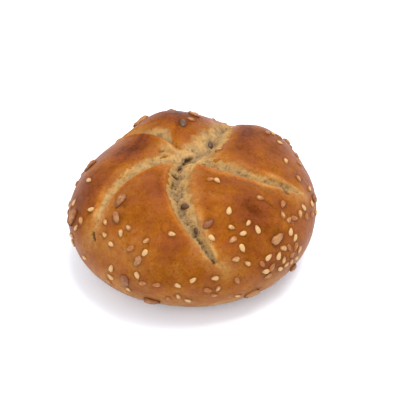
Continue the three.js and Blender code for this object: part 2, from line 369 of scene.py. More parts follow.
def growPiece(name, source, tree, values):
    modifier = source.modifiers.new(tree.name, "NODES")
    modifier.node_group = tree
    for item in tree.interface.items_tree:
        if item.in_out == "INPUT" and item.name in values:
            modifier[item.identifier] = values[item.name]
    bpy.context.view_layer.update()
    evaluated = source.evaluated_get(bpy.context.evaluated_depsgraph_get())
    mesh = bpy.data.meshes.new_from_object(evaluated)
    bpy.data.objects.remove(source)
    piece = bpy.data.objects.new(name, mesh)
    bpy.context.scene.collection.objects.link(piece)
    print(name, "faces:", len(mesh.polygons))
    return piece


def makeObject(name, vertices, faces, attributes):
    mesh = bpy.data.meshes.new(name)
    mesh.from_pydata(vertices, [], faces)
    for label, values in attributes.items():
        isVector = values.ndim == 2
        attribute = mesh.attributes.new(label, "FLOAT_VECTOR" if isVector else "FLOAT", "POINT")
        attribute.data.foreach_set("vector" if isVector else "value", values.astype(np.float32).ravel())
    made = bpy.data.objects.new(name, mesh)
    bpy.context.scene.collection.objects.link(made)
    return made


def perMetre(size):
    return millimetres / size  # a texture node's scale for a pattern of that many millimetres


# the sRGB curve, from a hex code to the linear colour that a shader reads
def linearColour(hexCode):
    channels = [int(hexCode[i : i + 2], 16) / 255 for i in (1, 3, 5)]
    linear = [c / 12.92 if c <= 0.04045 else ((c + 0.055) / 1.055) ** 2.4 for c in channels]
    return (*linear, 1)


def startMaterial(name):
    material = bpy.data.materials.new(name)
    material.use_nodes = True
    tree = material.node_tree
    shader = next(node for node in tree.nodes if node.type == "BSDF_PRINCIPLED")
    return material, tree, shader


def setStops(ramp, stops):
    elements = ramp.color_ramp.elements
    while len(elements) < len(stops):
        elements.new(0.5)
    for element, (position, hexCode) in zip(elements, sorted(stops.items())):
        element.position = position
        element.color = linearColour(hexCode)


crustLooks = {
    "crust": {0: "#a37a46", 0.25: "#96602a", 0.5: "#864a0e", 0.75: "#70370b", 1: "#502107"},
    "crumb": {0: "#8c5622", 0.14: "#a67e49", 0.5: "#a48355", 1: "#8c7150"},
    # painted shade inside the torn slits and creases
    "slit": "#70501c",
    "reddish": "#7d4026",
    "glossTint": "#ffb070",
    "gloss": 0.12,
    "crustRoughness": 0.46,
    "crumbRoughness": 0.85,
    "pitLevels": (-0.7, 0.25),  # mm of relief, from the deepest pit up to a strand
    # painted shade in the pits, down to half, and a little painted light on the raised strands
    "pitPaintedShades": (0.5, 1.08),
    "crackWidth": 0.3,
    # painted shade along the crack at the bottom of each cut
    "crackPaintedShade": 0.45,
    "seedShadowAndBrowning": 0.55,  # of the crust close to each seed: painted contact shadow, with some real browning
    "slitGrain": 3.0,
    "slitLevels": (0.3, 0.8),
    "slitShadeShare": 0.85,
    "grit": 0.9,  # mm
    "gritStrength": 0.5,
    "gritHeight": 0.0003,  # metres
}
crustNoises = {  # sizes in mm, and what each noise becomes between two of its levels
    "blotch": {"size": 9, "detail": 3.0, "rough": 0.55, "levels": (0.3, 0.7), "becomes": (-0.14, 0.14)},
    "mottle": {"size": 2.4, "detail": 4.0, "rough": 0.6, "levels": (0.3, 0.7), "becomes": (-0.1, 0.1)},
    "grain": {"size": 0.8, "detail": 3.0, "rough": 0.6, "levels": (0.3, 0.7), "becomes": (-0.09, 0.09)},
    "tufts": {"size": 3.5, "detail": 3.0, "rough": 0.6, "levels": (0.3, 0.7), "becomes": (-0.4, 0.4)},
    "redness": {"size": 6, "detail": 3.0, "rough": 0.6, "levels": (0.42, 0.66), "becomes": (0.0, 0.5)},
    "speckle": {"size": 1.1, "detail": 2.0, "rough": 0.7, "levels": (0.58, 0.72), "becomes": (1.0, 0.62)},
}
crackGaps = {  # where the crack at the bottom of a cut is broken off
    "perMillimetre": 0.35,
    "detail": 2.0,
    "endShare": 0.05,  # by which the crack is likelier towards the end of its cut
    "closed": 0.6,
    "openColour": 0.68,
    "openRelief": 0.7,
}


# The crack at the bottom of every cut, broken by gaps, for the colours and for the relief.
def addCrack(tree, place, scale, read, width, openAt):
    gaps = addNode(tree, "ShaderNodeTexNoise", None,
                   {"Vector": place, "Scale": scale, "Detail": crackGaps["detail"]})
    likelier = addNode(tree, "ShaderNodeMath", {"operation": "MULTIPLY_ADD"},
                       {0: read["crackShare"], 1: crackGaps["endShare"], 2: gaps})
    gapShare = addNode(tree, "ShaderNodeMapRange", None,
                       {"Value": likelier, "From Min": crackGaps["closed"], "From Max": openAt})
    narrow = addNode(tree, "ShaderNodeMath", {"operation": "DIVIDE"}, {0: read["cutAcross"], 1: width})
    squared = addNode(tree, "ShaderNodeMath", {"operation": "MULTIPLY"}, {0: narrow, 1: narrow})
    negative = addNode(tree, "ShaderNodeMath", {"operation": "MULTIPLY"}, {0: squared, 1: -1.0})
    line = addNode(tree, "ShaderNodeMath", {"operation": "EXPONENT"}, {0: negative})
    atMostOne = addNode(tree, "ShaderNodeMath", {"operation": "MINIMUM"}, {0: read["crackShare"], 1: 1.0})
    lined = addNode(tree, "ShaderNodeMath", {"operation": "MULTIPLY"}, {0: atMostOne, 1: line})
    return addNode(tree, "ShaderNodeMath", {"operation": "MULTIPLY"}, {0: lined, 1: gapShare})


# Wheat crust washed with egg: brown blotches and grains under a faint warm gloss.
# Where the attribute "bare" is 1 it is torn crumb, pale, matt and darker in its pits.
def makeCrustMaterial():
    material, tree, shader = startMaterial("eggWashedWheatCrust")
    names = ("bake", "opening", "bare", "relief", "crackShare", "cutAcross", "nearSeed", "slit")
    read = {
        name: addNode(tree, "ShaderNodeAttribute", {"attribute_name": name}).outputs["Fac"]
        for name in names
    }
    place = addNode(tree, "ShaderNodeTexCoord").outputs["Object"]
    shift = {}
    for name, noise in crustNoises.items():
        texture = addNode(tree, "ShaderNodeTexNoise", None, {
            "Vector": place, "Scale": perMetre(noise["size"]),
            "Detail": noise["detail"], "Roughness": noise["rough"],
        })
        shift[name] = addNode(tree, "ShaderNodeMapRange", None, {
            "Value": texture,
            "From Min": noise["levels"][0], "From Max": noise["levels"][1],
            "To Min": noise["becomes"][0], "To Max": noise["becomes"][1],
        })
    # the crust's browning
    mottling = addNode(tree, "ShaderNodeMath", {"operation": "ADD"}, {0: shift["mottle"], 1: shift["grain"]})
    blotched = addNode(tree, "ShaderNodeMath", {"operation": "ADD"}, {0: read["bake"], 1: shift["blotch"]})
    browned = addNode(tree, "ShaderNodeMath", {"operation": "ADD"}, {0: blotched, 1: mottling})
    browning = addNode(tree, "ShaderNodeValToRGB", None, {"Fac": browned})
    setStops(browning, crustLooks["crust"])
    crustColour = addNode(tree, "ShaderNodeMix", {"data_type": "RGBA"},
                          {0: shift["redness"], 6: browning, 7: linearColour(crustLooks["reddish"])})
    # the crumb, toasted at its edge
    opened = addNode(tree, "ShaderNodeMath", {"operation": "ADD"}, {0: read["opening"], 1: mottling})
    tufted = addNode(tree, "ShaderNodeMath", {"operation": "ADD"}, {0: opened, 1: shift["tufts"]})
    crumbColour = addNode(tree, "ShaderNodeValToRGB", None, {"Fac": tufted})
    setStops(crumbColour, crustLooks["crumb"])
    skin = addNode(tree, "ShaderNodeMix", {"data_type": "RGBA"},
                   {0: read["bare"], 6: crustColour, 7: crumbColour})
    # painted shade and light by the relief: darker in the pits, a little lighter on the strands
    paintedPitShade = addNode(tree, "ShaderNodeMapRange", None, {
        "Value": read["relief"],
        "From Min": crustLooks["pitLevels"][0], "From Max": crustLooks["pitLevels"][1],
        "To Min": crustLooks["pitPaintedShades"][0], "To Max": crustLooks["pitPaintedShades"][1],
    })
    # the crack of the relief again, as a narrower dark line of painted shade
    crackScale = crackGaps["perMillimetre"] * millimetres
    cracked = addCrack(tree, place, crackScale, read, crustLooks["crackWidth"], crackGaps["openColour"])
    # every darkening of the skin: painted shade in the pits, the crack and round the seeds, and the real dark
    # specks
    paintedShadeAndSpecks = paintedPitShade
    for amount, darkest in ((cracked, crustLooks["crackPaintedShade"]), (read["nearSeed"], crustLooks["seedShadowAndBrowning"])):
        shading = addNode(tree, "ShaderNodeMapRange", None,
                          {"Value": amount, "To Min": 1.0, "To Max": darkest})
        paintedShadeAndSpecks = addNode(tree, "ShaderNodeMath", {"operation": "MULTIPLY"}, {0: paintedShadeAndSpecks, 1: shading})
    paintedShadeAndSpecks = addNode(tree, "ShaderNodeMath", {"operation": "MULTIPLY"}, {0: paintedShadeAndSpecks, 1: shift["speckle"]})
    # the torn slits, brown with an uneven edge, painted dark as the shade inside the torn holes and creases
    uneven = addNode(tree, "ShaderNodeMath", {"operation": "MULTIPLY_ADD"},
                     {0: shift["grain"], 1: crustLooks["slitGrain"], 2: read["slit"]})
    slitShadeShare = addNode(tree, "ShaderNodeMapRange", None, {
        "Value": uneven, "From Min": crustLooks["slitLevels"][0], "From Max": crustLooks["slitLevels"][1],
        "To Min": 0.0, "To Max": crustLooks["slitShadeShare"],
    })
    slitted = addNode(tree, "ShaderNodeMix", {"data_type": "RGBA"},
                      {0: slitShadeShare, 6: skin, 7: linearColour(crustLooks["slit"])})
    shaded = addNode(tree, "ShaderNodeMix", {"data_type": "RGBA", "blend_type": "MULTIPLY"},
                     {0: 1.0, 6: slitted, 7: paintedShadeAndSpecks})
    tree.links.new(shaded.outputs[2], shader.inputs["Base Color"])
    roughness = addNode(tree, "ShaderNodeMapRange", None, {
        "Value": read["bare"], "To Min": crustLooks["crustRoughness"], "To Max": crustLooks["crumbRoughness"],
    })
    tree.links.new(roughness.outputs[0], shader.inputs["Roughness"])
    grit = addNode(tree, "ShaderNodeTexNoise", None,
                   {"Vector": place, "Scale": perMetre(crustLooks["grit"]), "Detail": 3.0, "Roughness": 0.6})
    bump = addNode(tree, "ShaderNodeBump", None, {
        "Strength": crustLooks["gritStrength"], "Distance": crustLooks["gritHeight"], "Height": grit,
    })
    tree.links.new(bump.outputs[0], shader.inputs["Normal"])
    shader.inputs["Specular IOR Level"].default_value = crustLooks["gloss"]
    shader.inputs["Specular Tint"].default_value = linearColour(crustLooks["glossTint"])
    return material


seedLooks = {
    # hulled and toasted: cream with a thin brown rim and a faint sheen; the rim is partly toasting and partly
    # painted shade on the seed's underside
    "sesame": {"name": "toastedSesame", "pale": "#b48f5e", "toastedAndShaded": "#8c5220", "tip": "#744418",
               "roughness": 0.45, "rim": 0.6, "blotch": 1.5},
    # shelled and baked: dull brown, darker at the pointed end
    "sunflower": {"name": "sunflowerKernel", "pale": "#9b6a3f", "toastedAndShaded": "#73401f", "tip": "#4c2914",
                  "roughness": 0.5, "rim": 0.4, "blotch": 1.6},
    # whole seeds: very dark and smooth, the shiniest of the three
    "linseed": {"name": "brownLinseed", "pale": "#4e3524", "toastedAndShaded": "#5f3d1c", "tip": "#35231a",
                "roughness": 0.4, "rim": 0.2, "blotch": 1.5},
}
seedFinish = {
    "toasting": 1.4,  # how strongly the blotches brown a seed
    "toastingShift": -0.7,
    "crestLevels": (0.95, 0.55),  # from the seed's top down to its rim, which darkens as toasting and painted shade
    "tipLevels": (0.7, 1.0),
    "tipShare": 0.7,
    "gloss": 0.3,
    "grit": 0.7,  # mm
    "gritStrength": 0.3,
    "gritHeight": 0.0002,  # metres
}


def makeSeedMaterial(looks):
    material, tree, shader = startMaterial(looks["name"])
    read = {
        name: addNode(tree, "ShaderNodeAttribute", {"attribute_name": name}).outputs["Fac"]
        for name in ("seedTone", "tip", "crest")
    }
    place = addNode(tree, "ShaderNodeTexCoord").outputs["Object"]
    blotches = addNode(tree, "ShaderNodeTexNoise", None,
                       {"Vector": place, "Scale": perMetre(looks["blotch"]), "Detail": 2.0, "Roughness": 0.6})
    blotched = addNode(tree, "ShaderNodeMath", {"operation": "MULTIPLY_ADD"},
                       {0: blotches, 1: seedFinish["toasting"], 2: seedFinish["toastingShift"]})
    toned = addNode(tree, "ShaderNodeMath", {"operation": "ADD"}, {0: blotched, 1: read["seedTone"]})
    # darker towards the seed's underside: partly toasting, partly painted shade
    rim = addNode(tree, "ShaderNodeMapRange", None, {
        "Value": read["crest"], "From Min": seedFinish["crestLevels"][0],
        "From Max": seedFinish["crestLevels"][1], "To Min": 0.0, "To Max": looks["rim"],
    })
    toastedAndShaded = addNode(tree, "ShaderNodeMath", {"operation": "ADD"}, {0: toned, 1: rim})
    hull = addNode(tree, "ShaderNodeValToRGB", None, {"Fac": toastedAndShaded})
    setStops(hull, {0: looks["pale"], 0.5: looks["pale"], 1: looks["toastedAndShaded"]})
    atTip = addNode(tree, "ShaderNodeMapRange", None, {
        "Value": read["tip"], "From Min": seedFinish["tipLevels"][0],
        "From Max": seedFinish["tipLevels"][1], "To Min": 0.0, "To Max": seedFinish["tipShare"],
    })
    tipped = addNode(tree, "ShaderNodeMix", {"data_type": "RGBA"},
                     {0: atTip, 6: hull, 7: linearColour(looks["tip"])})
    tree.links.new(tipped.outputs[2], shader.inputs["Base Color"])
    grit = addNode(tree, "ShaderNodeTexNoise", None,
                   {"Vector": place, "Scale": perMetre(seedFinish["grit"]), "Detail": 2.0, "Roughness": 0.5})
    bump = addNode(tree, "ShaderNodeBump", None, {
        "Strength": seedFinish["gritStrength"], "Distance": seedFinish["gritHeight"], "Height": grit,
    })
    tree.links.new(bump.outputs[0], shader.inputs["Normal"])
    shader.inputs["Roughness"].default_value = looks["roughness"]
    shader.inputs["Specular IOR Level"].default_value = seedFinish["gloss"]
    return material


crustMesh = {"faceSteps": 128, "crownCrowding": 1.25, "weldDigits": 6}


# A cube's six faces, each a grid, blown up to a ball of even quads.
def ballGrid(steps):
    spread = np.tan(np.linspace(-math.pi / 4, math.pi / 4, steps + 1))
    u, v = np.meshgrid(spread, spread, indexing="ij")
    corner = np.arange((steps + 1) ** 2).reshape(steps + 1, steps + 1)
    sides = [corner[:-1, :-1], corner[1:, :-1], corner[1:, 1:], corner[:-1, 1:]]
    quad = np.stack(sides, axis=-1).reshape(-1, 4)
    directions = []
    quads = []
    axes = np.eye(3)
    for across, upward in ((0, 1), (1, 2), (2, 0)):
        for sign in (1, -1):
            first, second = (axes[across], axes[upward]) if sign == 1 else (axes[upward], axes[across])
            facing = np.cross(first, second)
            grid = u[..., None] * first + v[..., None] * second + facing
            quads.append(quad + len(directions) * (steps + 1) ** 2)
            directions.append(grid.reshape(-1, 3))
    directions = np.concatenate(directions)
    directions /= np.linalg.norm(directions, axis=1, keepdims=True)
    rounded = np.round(directions, crustMesh["weldDigits"])
    _, kept, member = np.unique(rounded, axis=0, return_index=True, return_inverse=True)
    return directions[kept], member.reshape(-1)[np.concatenate(quads)]


def smoothStep(low, high, values):
    t = np.clip((values - low) / (high - low), 0, 1)
    return t * t * (3 - 2 * t)


hubCrumb = {"middle": (-8, 4.2), "reach": 8, "opening": 0.6}  # bare crumb behind the hub, in plan
tornSlits = [  # where the crumb tore open and where the crust creased, in plan, in mm, with their shade painted into the colour
    {"from": (-1.6, 3.0), "to": (-3.2, 1.6), "reach": 0.6, "share": 1},
    {"from": (-3.8, 0.7), "to": (-5.0, -1.9), "reach": 0.55, "share": 0.9},
    {"from": (-8.0, -8.3), "to": (-6.4, -7.6), "reach": 0.45, "share": 0.9},
    {"from": (-7.6, -11.2), "to": (-7.9, -14.3), "reach": 0.55, "share": 0.9},
    {"from": (-13.5, 4.0), "to": (-11.4, 4.6), "reach": 0.4, "share": 0.7},
    {"from": (-12.8, 1.6), "to": (-10.9, 2.4), "reach": 0.35, "share": 0.7},
    {"from": (-36.7, -26.6), "to": (-36.3, -29.4), "reach": 0.7, "share": 1},
    {"from": (33.2, -11.2), "to": (34.5, -11.7), "reach": 1, "share": 1.1},
    {"from": (24.9, -20.9), "to": (28.6, -21.9), "reach": 0.35, "share": 0.6},
]
bakedPatches = [  # darker or paler than the rest, in degrees, and how far each reaches in mm
    {"azimuth": 240, "colatitude": 28, "reach": 8, "share": 0.25},
    {"azimuth": 258, "colatitude": 56, "reach": 6, "share": 0.2},
    {"azimuth": 232, "colatitude": 68, "reach": 12, "share": -0.2},
    {"azimuth": 307, "colatitude": 46, "reach": 7, "share": 0.3},
    {"azimuth": 292, "colatitude": 70, "reach": 6, "share": -0.15},
    {"azimuth": 249, "colatitude": 66, "reach": 10, "share": -0.18},
    {"azimuth": 38, "colatitude": 33, "reach": 10, "share": 0.35},
    {"azimuth": 350, "colatitude": 40, "reach": 8, "share": 0.1},
    {"azimuth": 160, "colatitude": 34, "reach": 10, "share": 0.35},
    {"azimuth": 195, "colatitude": 58, "reach": 9, "share": 0.2},
    {"azimuth": 100, "colatitude": 33, "reach": 12, "share": 0.4},
]
cutEdges = {  # where a pair is given, the effect grows from the first value to the second
    "uncut": -1.0,  # the attribute "opening" far from every cut
    "uncutSoftness": 0.2,
    "closing": 1.2,
    "closesAfter": 0.12,  # share of a cut's length past its bare stretch
    "closesBefore": 0.15,
    "strandsApart": 100,  # so that no two cuts tear alike
    "lipWall": 6,  # mm, a wall this wide has no lip
    "lipGrows": 3,
    "lipEnds": (0.97, 0.8),
    "lipPlace": 1.12,  # in walls from the bottom of the cut
    "lipSpread": 0.3,
    "crackBegins": (0.12, 0.3),
    "crackEnd": 0.97,
    "crackDeepens": (0.55, 0.7),
    "crackNear": (3, 1.5),  # mm
    "shelterReach": 5,  # mm
    "shelterGrows": (0.5, 0.95),
    "seedReach": 0.45,  # of a seed's length
}
baking = {
    "all": 0.58,
    "paleFoot": 0.42,
    "footGrows": (26, 6),  # mm above the tray
    "underside": 0.5,  # mm, below this the base is as brown as the rest
    "shelteredPaler": 0.4,
    "besideCutPaler": 0.3,
    "besideCut": (-0.6, 0.0),
    "flatOnTray": (0.6, 0.0),  # mm
}


# The form of the crust, with what its relief and its colours read at every point:
# "opening" is 1 at the bottom of a cut, "softEdge" how slowly crust becomes crumb there,
# "bake" how brown the crust is, and "tray" is 1 where it lies flat.
def makeCrust():
    directions, quads = ballGrid(crustMesh["faceSteps"])
    share = np.arccos(np.clip(directions[:, 2], -1, 1)) / math.pi
    azimuth = np.arctan2(directions[:, 1], directions[:, 0])
    colatitude = math.pi * share ** crustMesh["crownCrowding"]
    points, found = crustPoint(colatitude, azimuth)
    opening = np.full(len(points), cutEdges["uncut"])
    softEdge = np.full(len(points), cutEdges["uncutSoftness"])
    toLine = np.full(len(points), np.inf)
    crackShare, lip, sheltered, along, across, slit, nearSeed = np.zeros((7, len(points)))
    for index, (name, cut) in enumerate(cuts.items()):
        spot = found[name]
        wall = wallWidth(cut, spot)
        way = spot["distance"] / wall
        after = (1 + spot["side"]) / 2
        toast = cut["toast"][0] + (cut["toast"][1] - cut["toast"][0]) * after
        soft = cut["soft"][0] + (cut["soft"][1] - cut["soft"][0]) * after
        bareFrom, bareTo = cut["bare"]
        closedAfter = smoothStep(bareTo, bareTo + cutEdges["closesAfter"], spot["share"])
        closedBefore = smoothStep(bareFrom, bareFrom - cutEdges["closesBefore"], spot["share"])
        tone = (1 - way - toast) / (1 - toast) - cutEdges["closing"] * (closedAfter + closedBefore)
        nearest = tone > opening
        opening[nearest] = tone[nearest]
        softEdge[nearest] = soft[nearest]
        along[nearest] = (spot["share"] * cut["length"])[nearest] + cutEdges["strandsApart"] * index
        steep = np.clip((cutEdges["lipWall"] - wall) / cutEdges["lipGrows"], 0, 1)
        steep = steep * smoothStep(*cutEdges["lipEnds"], spot["share"])
        crest = np.exp(-(((way - cutEdges["lipPlace"]) / cutEdges["lipSpread"]) ** 2))
        lip = np.maximum(lip, steep * crest)
        closest = spot["distance"] < toLine
        toLine[closest] = spot["distance"][closest]
        across[closest] = (spot["side"] * spot["distance"])[closest]
        inside = smoothStep(*cutEdges["crackBegins"], spot["share"]) * (spot["share"] < cutEdges["crackEnd"])
        deeper = 1 + smoothStep(*cutEdges["crackDeepens"], spot["share"])
        crackShare[closest] = (inside * deeper)[closest]
        besideLine = np.exp(-((spot["distance"] / cutEdges["shelterReach"]) ** 2))
        towardsEnd = smoothStep(*cutEdges["shelterGrows"], spot["share"])
        sheltered = np.maximum(sheltered, besideLine * towardsEnd)
    crackShare = crackShare * smoothStep(*cutEdges["crackNear"], toLine)
    hubMiddle = crownPoint(*(np.array([part]) for part in hubCrumb["middle"]))
    fromHub = np.linalg.norm(points - hubMiddle, axis=1)
    atHub = hubCrumb["opening"] - hubCrumb["opening"] * fromHub / hubCrumb["reach"]
    opening = np.maximum(opening, atHub)
    crown = points[points[:, 2] > loaf["widestHeight"]]
    for tear in tornSlits:
        start, stop = (
            crown[np.linalg.norm(crown[:, :2] - tear[key], axis=1).argmin()] for key in ("from", "to")
        )
        leg = stop - start
        legShare = np.clip((points - start) @ leg / (leg @ leg), 0, 1)
        fromTear = np.linalg.norm(points - start - legShare[:, None] * leg, axis=1)
        slit = np.maximum(slit, tear["share"] * np.exp(-((fromTear / tear["reach"]) ** 2)))
    # how near each seed lies: it keeps the relief smooth there and darkens the crust as painted contact
    # shadow with some real browning
    for seed in seeds:
        fromSeed = np.linalg.norm(points - seed["origin"], axis=1)
        seedReach = seedKinds[seed["kind"]]["length"] * seed["size"] * cutEdges["seedReach"]
        nearSeed = np.maximum(nearSeed, np.exp(-((fromSeed / seedReach) ** 2)))
    height = points[:, 2]
    foot = baking["paleFoot"] * smoothStep(*baking["footGrows"], height) * (height > baking["underside"])
    bake = baking["all"] - foot - baking["shelteredPaler"] * sheltered
    for patch in bakedPatches:
        patchMiddle, _ = crustPoint(np.radians([patch["colatitude"]]), np.radians([patch["azimuth"]]))
        fromPatch = np.linalg.norm(points - patchMiddle, axis=1)
        bake += patch["share"] * np.exp(-((fromPatch / patch["reach"]) ** 2))
    bake -= baking["besideCutPaler"] * smoothStep(*baking["besideCut"], opening)
    tray = smoothStep(*baking["flatOnTray"], height)
    attributes = {
        "opening": opening, "softEdge": softEdge, "crackShare": crackShare, "lip": lip, "cutAlong": along,
        "cutAcross": across, "nearSeed": nearSeed, "bake": bake, "tray": tray, "slit": slit,
    }
    return makeObject("crustForm", points * metre, quads, attributes)


relief = {
    "Pore Size": 1.5,
    "Pore Depth": 0.45,
    "Strand Spacing": 1.3,
    "Strand Depth": 1.1,
    "Dimple Size": 11.0,
    "Dimple Height": 0.7,
    "Wrinkle Size": 1.9,
    "Wrinkle Height": 0.18,
    "Crack Depth": 0.35,
    "Crack Width": 0.5,
    "Ragged Edge": 0.55,
    "Lump Size": 4.5,
    "Lump Height": 1.3,
    "Lip Height": 0.8,
    "Slit Depth": 0.9,
}
crumbTexture = {  # scales are for one millimetre
    "raggedScale": 0.45,
    "poreLevels": (0.15, 0.5),  # from the middle of a pore out to its rim
    "clusterScale": 0.28,
    "clusterLevels": (0.42, 0.62),
    "strandStretch": 0.42,  # across the cut, where less makes longer strands
    "strandDistortion": 1.2,
    "strandMiddle": 0.55,
}
softNoises = {"Lump": 2.0, "Dimple": 1.0, "Wrinkle": 2.0}  # the detail of each


def makeReliefTree(values):
    tree, start, end = startTree("torn crumb and crust relief", values)
    place = addNode(tree, "ShaderNodeVectorMath", {"operation": "SCALE"},
                    {0: tree.nodes.new("GeometryNodeInputPosition"), 3: millimetres})
    names = ("opening", "softEdge", "crackShare", "lip", "cutAlong", "cutAcross", "tray", "slit", "nearSeed")
    read = {
        name: addNode(tree, "GeometryNodeInputNamedAttribute", {"data_type": "FLOAT"}, {"Name": name})
        for name in names
    }
    # bare crumb, with a ragged edge
    ragged = addNode(tree, "ShaderNodeTexNoise", None,
                     {"Vector": place, "Scale": crumbTexture["raggedScale"], "Detail": 3.0})
    raggedShift = addNode(tree, "ShaderNodeMath", {"operation": "SUBTRACT"}, {0: ragged, 1: 0.5})
    raggedMove = addNode(tree, "ShaderNodeMath", {"operation": "MULTIPLY"},
                         {0: raggedShift, 1: start.outputs["Ragged Edge"]})
    opened = addNode(tree, "ShaderNodeMath", {"operation": "ADD"}, {0: read["opening"], 1: raggedMove})
    bare = addNode(tree, "ShaderNodeMapRange", {"interpolation_type": "SMOOTHSTEP"},
                   {"Value": opened, "From Min": 0.0, "From Max": read["softEdge"]})
    # pores, in clusters
    poreScale = addNode(tree, "ShaderNodeMath", {"operation": "DIVIDE"},
                        {0: 1.0, 1: start.outputs["Pore Size"]})
    pores = addNode(tree, "ShaderNodeTexVoronoi", None, {"Vector": place, "Scale": poreScale})
    pit = addNode(tree, "ShaderNodeMapRange", {"interpolation_type": "SMOOTHSTEP"}, {
        "Value": pores.outputs["Distance"], "From Min": crumbTexture["poreLevels"][0],
        "From Max": crumbTexture["poreLevels"][1], "To Min": 1.0, "To Max": 0.0,
    })
    clusters = addNode(tree, "ShaderNodeTexNoise", None,
                       {"Vector": place, "Scale": crumbTexture["clusterScale"], "Detail": 2.0})
    clustered = addNode(tree, "ShaderNodeMapRange", {"interpolation_type": "SMOOTHSTEP"}, {
        "Value": clusters, "From Min": crumbTexture["clusterLevels"][0],
        "From Max": crumbTexture["clusterLevels"][1],
    })
    pitShare = addNode(tree, "ShaderNodeMath", {"operation": "MULTIPLY"}, {0: pit, 1: clustered})
    pitDeep = addNode(tree, "ShaderNodeMath", {"operation": "MULTIPLY"},
                      {0: pitShare, 1: start.outputs["Pore Depth"]})
    # strands torn across the cut
    alongShare = addNode(tree, "ShaderNodeMath", {"operation": "DIVIDE"},
                         {0: read["cutAlong"], 1: start.outputs["Strand Spacing"]})
    acrossShare = addNode(tree, "ShaderNodeMath", {"operation": "MULTIPLY"},
                          {0: read["cutAcross"], 1: crumbTexture["strandStretch"]})
    tear = addNode(tree, "ShaderNodeCombineXYZ", None, {0: alongShare, 1: acrossShare})
    strands = addNode(tree, "ShaderNodeTexNoise", None, {
        "Vector": tear, "Scale": 1.0, "Detail": 3.0, "Distortion": crumbTexture["strandDistortion"],
    })
    strandShift = addNode(tree, "ShaderNodeMath", {"operation": "SUBTRACT"},
                          {0: strands, 1: crumbTexture["strandMiddle"]})
    strandDeep = addNode(tree, "ShaderNodeMath", {"operation": "MULTIPLY"},
                         {0: strandShift, 1: start.outputs["Strand Depth"]})
    # the crumb's lumps, and the crust's own soft dimples and fine wrinkles
    soft = {}
    for name, detail in softNoises.items():
        scale = addNode(tree, "ShaderNodeMath", {"operation": "DIVIDE"},
                        {0: 1.0, 1: start.outputs[name + " Size"]})
        noise = addNode(tree, "ShaderNodeTexNoise", None, {"Vector": place, "Scale": scale, "Detail": detail})
        centred = addNode(tree, "ShaderNodeMath", {"operation": "SUBTRACT"}, {0: noise, 1: 0.5})
        soft[name] = addNode(tree, "ShaderNodeMath", {"operation": "MULTIPLY"},
                             {0: centred, 1: start.outputs[name + " Height"]})
    torn = addNode(tree, "ShaderNodeMath", {"operation": "SUBTRACT"}, {0: strandDeep, 1: pitDeep})
    crumbRelief = addNode(tree, "ShaderNodeMath", {"operation": "ADD"}, {0: torn, 1: soft["Lump"]})
    crustRelief = addNode(tree, "ShaderNodeMath", {"operation": "ADD"},
                          {0: soft["Dimple"], 1: soft["Wrinkle"]})
    mixed = addNode(tree, "ShaderNodeMix", None, {0: bare, 2: crustRelief, 3: crumbRelief})
    # the crack along the bottom of each cut
    crackWidth = start.outputs["Crack Width"]
    cracked = addCrack(tree, place, crackGaps["perMillimetre"], read, crackWidth, crackGaps["openRelief"])
    crackDeep = addNode(tree, "ShaderNodeMath", {"operation": "MULTIPLY"},
                        {0: cracked, 1: start.outputs["Crack Depth"]})
    # all of it together, smooth on the tray and under the seeds
    lipped = addNode(tree, "ShaderNodeMath", {"operation": "MULTIPLY_ADD"},
                     {0: read["lip"], 1: start.outputs["Lip Height"], 2: mixed})
    slitDeep = addNode(tree, "ShaderNodeMath", {"operation": "MULTIPLY"},
                       {0: read["slit"], 1: start.outputs["Slit Depth"]})
    sunken = addNode(tree, "ShaderNodeMath", {"operation": "ADD"}, {0: crackDeep, 1: slitDeep})
    total = addNode(tree, "ShaderNodeMath", {"operation": "SUBTRACT"}, {0: lipped, 1: sunken})
    offTray = addNode(tree, "ShaderNodeMath", {"operation": "SUBTRACT"}, {0: 1.0, 1: read["tray"]})
    offSeeds = addNode(tree, "ShaderNodeMath", {"operation": "SUBTRACT"}, {0: 1.0, 1: read["nearSeed"]})
    free = addNode(tree, "ShaderNodeMath", {"operation": "MULTIPLY"}, {0: offTray, 1: offSeeds})
    height = addNode(tree, "ShaderNodeMath", {"operation": "MULTIPLY"}, {0: total, 1: free})
    heightMetres = addNode(tree, "ShaderNodeMath", {"operation": "MULTIPLY"}, {0: height, 1: metre})
    move = addNode(tree, "ShaderNodeVectorMath", {"operation": "SCALE"},
                   {0: tree.nodes.new("GeometryNodeInputNormal"), 3: heightMetres})
    shape = start.outputs["Geometry"]
    for name, value in (("bare", bare), ("relief", height)):
        shape = addNode(tree, "GeometryNodeStoreNamedAttribute", {"data_type": "FLOAT", "domain": "POINT"},
                        {"Geometry": shape, "Name": name, "Value": value})
    shape = addNode(tree, "GeometryNodeSetPosition", None, {"Geometry": shape, "Offset": move})
    shape = addNode(tree, "GeometryNodeSetShadeSmooth", None, {"Geometry": shape})
    shape = addNode(tree, "GeometryNodeRealizeInstances", None, {"Geometry": shape})
    shape = addNode(tree, "GeometryNodeSetMaterial", None,
                    {"Geometry": shape, "Material": start.outputs["Material"]})
    tree.links.new(shape.outputs[0], end.inputs[0])
    return tree


reliefValues = {**relief, "Material": makeCrustMaterial()}
crust = growPiece("crust", makeCrust(), makeReliefTree(reliefValues), reliefValues)


seedShapes = {
    "sesame": {
        "Segments": 10, "Rings": 7, "Pointing": 0.34, "Size Variation": 0.12, "Seed": 5,
        "Lump Size": 1.4, "Lump Height": 0.25, "Ridge Height": 0.0, "Ridges": 1.0,
    },
    "sunflower": {
        "Segments": 20, "Rings": 14, "Pointing": 0.38, "Size Variation": 0.1, "Seed": 9,
        "Lump Size": 1.7, "Lump Height": 1.3, "Ridge Height": 0.15, "Ridges": 4.0,
    },
    "linseed": {
        "Segments": 8, "Rings": 6, "Pointing": 0.2, "Size Variation": 0.1, "Seed": 3,
        "Lump Size": 1.2, "Lump Height": 0.3, "Ridge Height": 0.0, "Ridges": 1.0,
    },
}
toneSeedApart = 100.0  # so that a seed's tone doesn't follow its size


